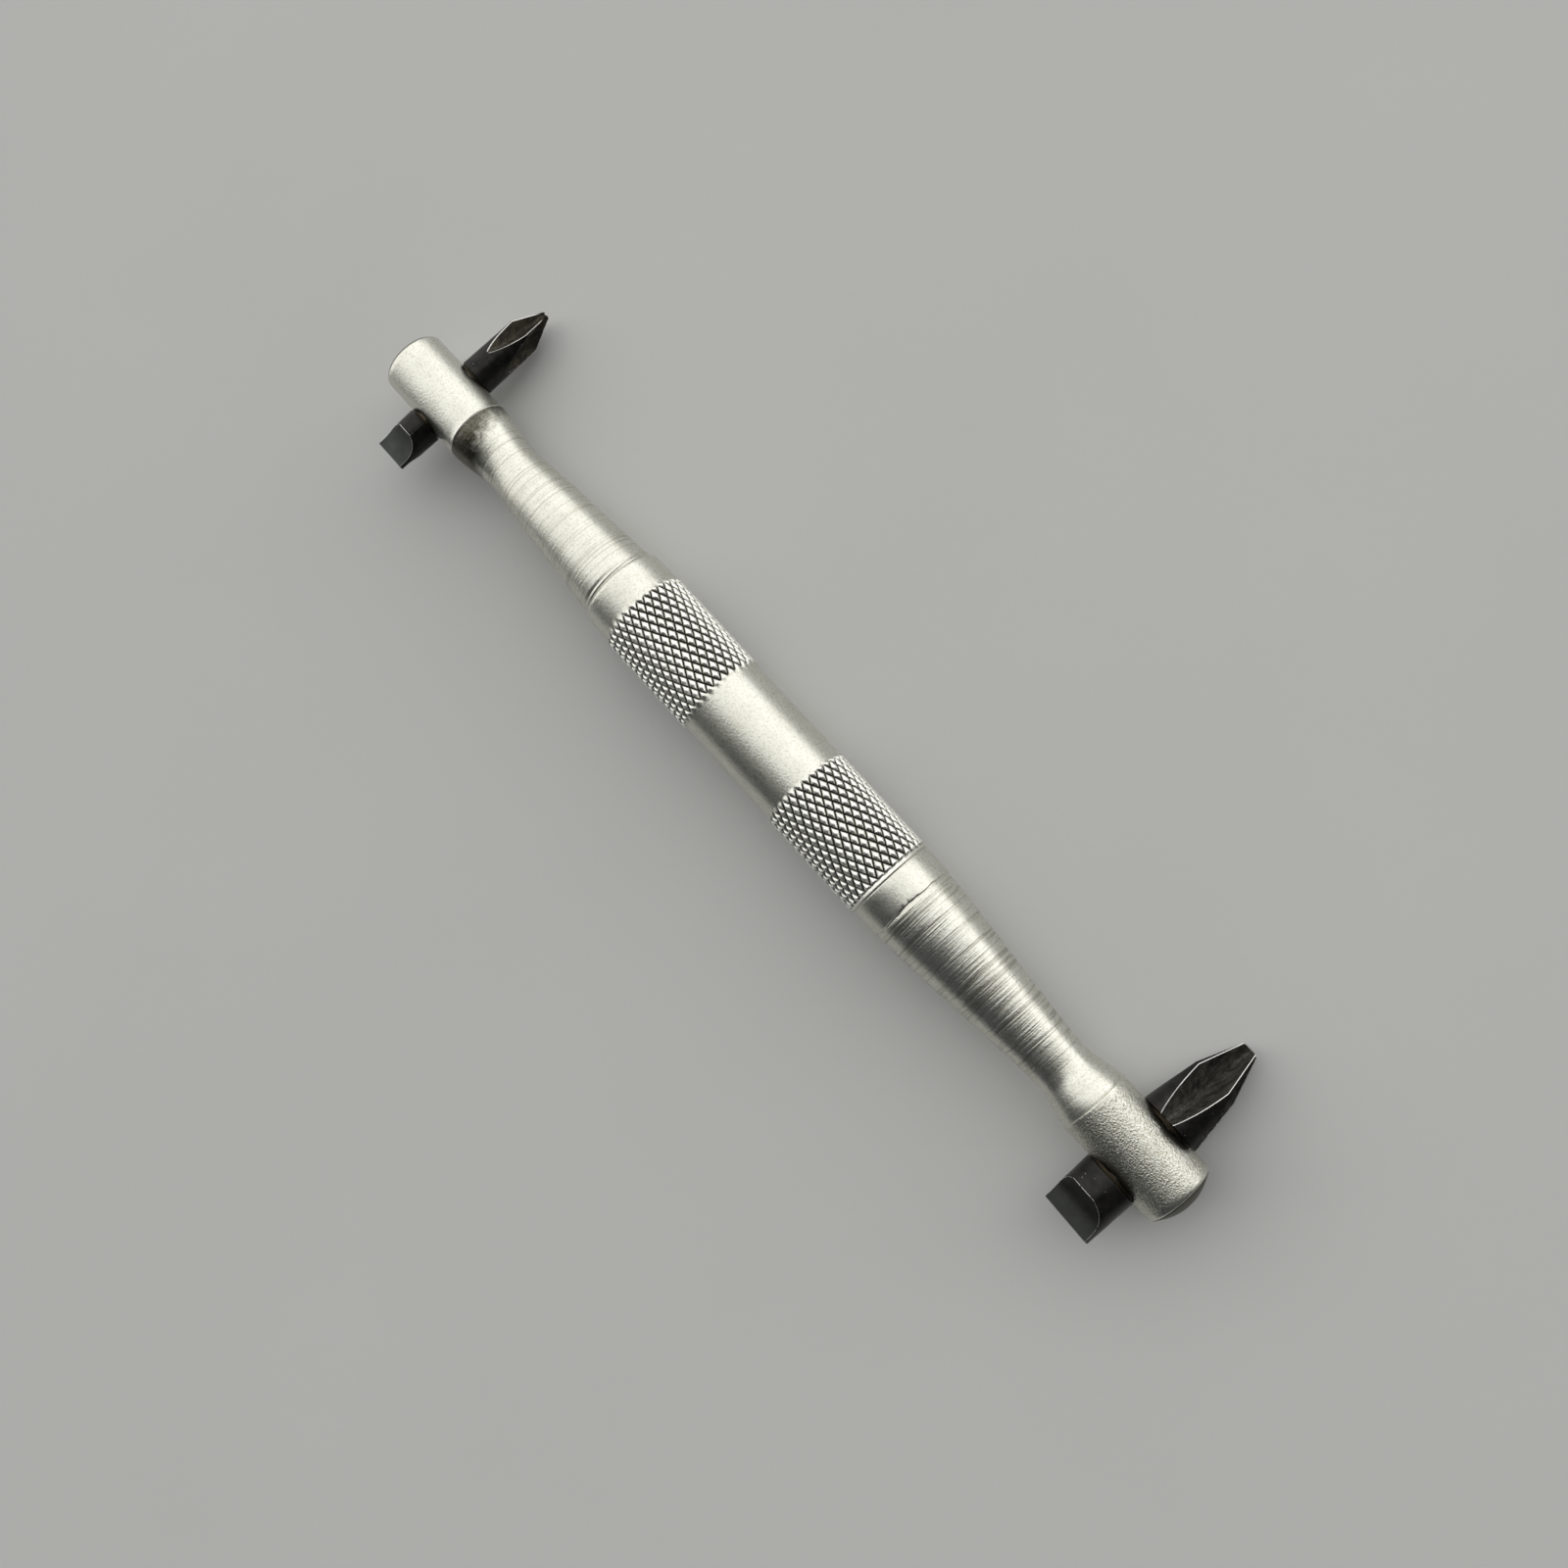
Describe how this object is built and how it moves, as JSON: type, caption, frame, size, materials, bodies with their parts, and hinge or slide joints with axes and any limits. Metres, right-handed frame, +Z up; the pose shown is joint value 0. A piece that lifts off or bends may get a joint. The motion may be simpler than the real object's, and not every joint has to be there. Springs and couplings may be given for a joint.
{
  "type": "offset screwdriver",
  "caption": "Double-ended offset screwdriver: a turned, knurled steel bar with a head at each end that carries a cross tip and a slotted tip back to back on a ratcheting spindle.",
  "frame": {"origin": "bottom centre of the whole tool's box, the tool lying as it comes to rest: rolled 13.4 degrees about its bar, on to its large cross tip", "axes": "+X along the bar to the large head, +Y to the side of the cross tips (which point 13.4 degrees below level), +Z up"},
  "size_m": [0.1308, 0.0266, 0.0111],
  "materials": {
    "nickel": "satin nickel plate over turned steel",
    "black_oxide": "black oxide on hardened steel",
    "bright_steel": "bright ground steel",
    "spring_steel": "drawn spring wire",
    "bronze": "plain bearing bronze"
  },
  "bodies": {
    "handle": {"handle_bar": "nickel", "far_end_plug": "nickel", "near_end_plug": "nickel", "far_phillips_washer": "bronze", "far_slotted_washer": "bronze", "near_phillips_washer": "bronze", "near_slotted_washer": "bronze", "far_pawl_spring": "spring_steel", "near_pawl_spring": "spring_steel"},
    "far_bit": {"far_phillips_bit": "black_oxide", "far_slotted_bit": "black_oxide", "far_ratchet_spindle": "bright_steel"},
    "near_bit": {"near_phillips_bit": "black_oxide", "near_slotted_bit": "black_oxide", "near_ratchet_spindle": "bright_steel"},
    "far_pawl": {"far_pawl": "bright_steel"},
    "near_pawl": {"near_pawl": "bright_steel"}
  },
  "joints": [
    {"name": "far_bit_spin", "type": "hinge", "parent": "handle", "child": "far_bit", "pos_m": [-0.0574, -0.00244, 0.00554], "axis": [0, 0.9728, -0.2315], "continuous": true},
    {"name": "near_bit_spin", "type": "hinge", "parent": "handle", "child": "near_bit", "pos_m": [0.0581, -0.00244, 0.00554], "axis": [0, 0.9728, -0.2315], "continuous": true},
    {"name": "far_pawl_slide", "type": "slide", "parent": "handle", "child": "far_pawl", "axis": [-1, 0, 0], "range_m": [0, 0.0004], "stiffness_N_per_m": 900, "springref_m": -0.0004, "deforming": ["far_pawl_spring"]},
    {"name": "near_pawl_slide", "type": "slide", "parent": "handle", "child": "near_pawl", "axis": [1, 0, 0], "range_m": [0, 0.00045], "stiffness_N_per_m": 900, "springref_m": -0.0004, "deforming": ["near_pawl_spring"]}
  ]
}
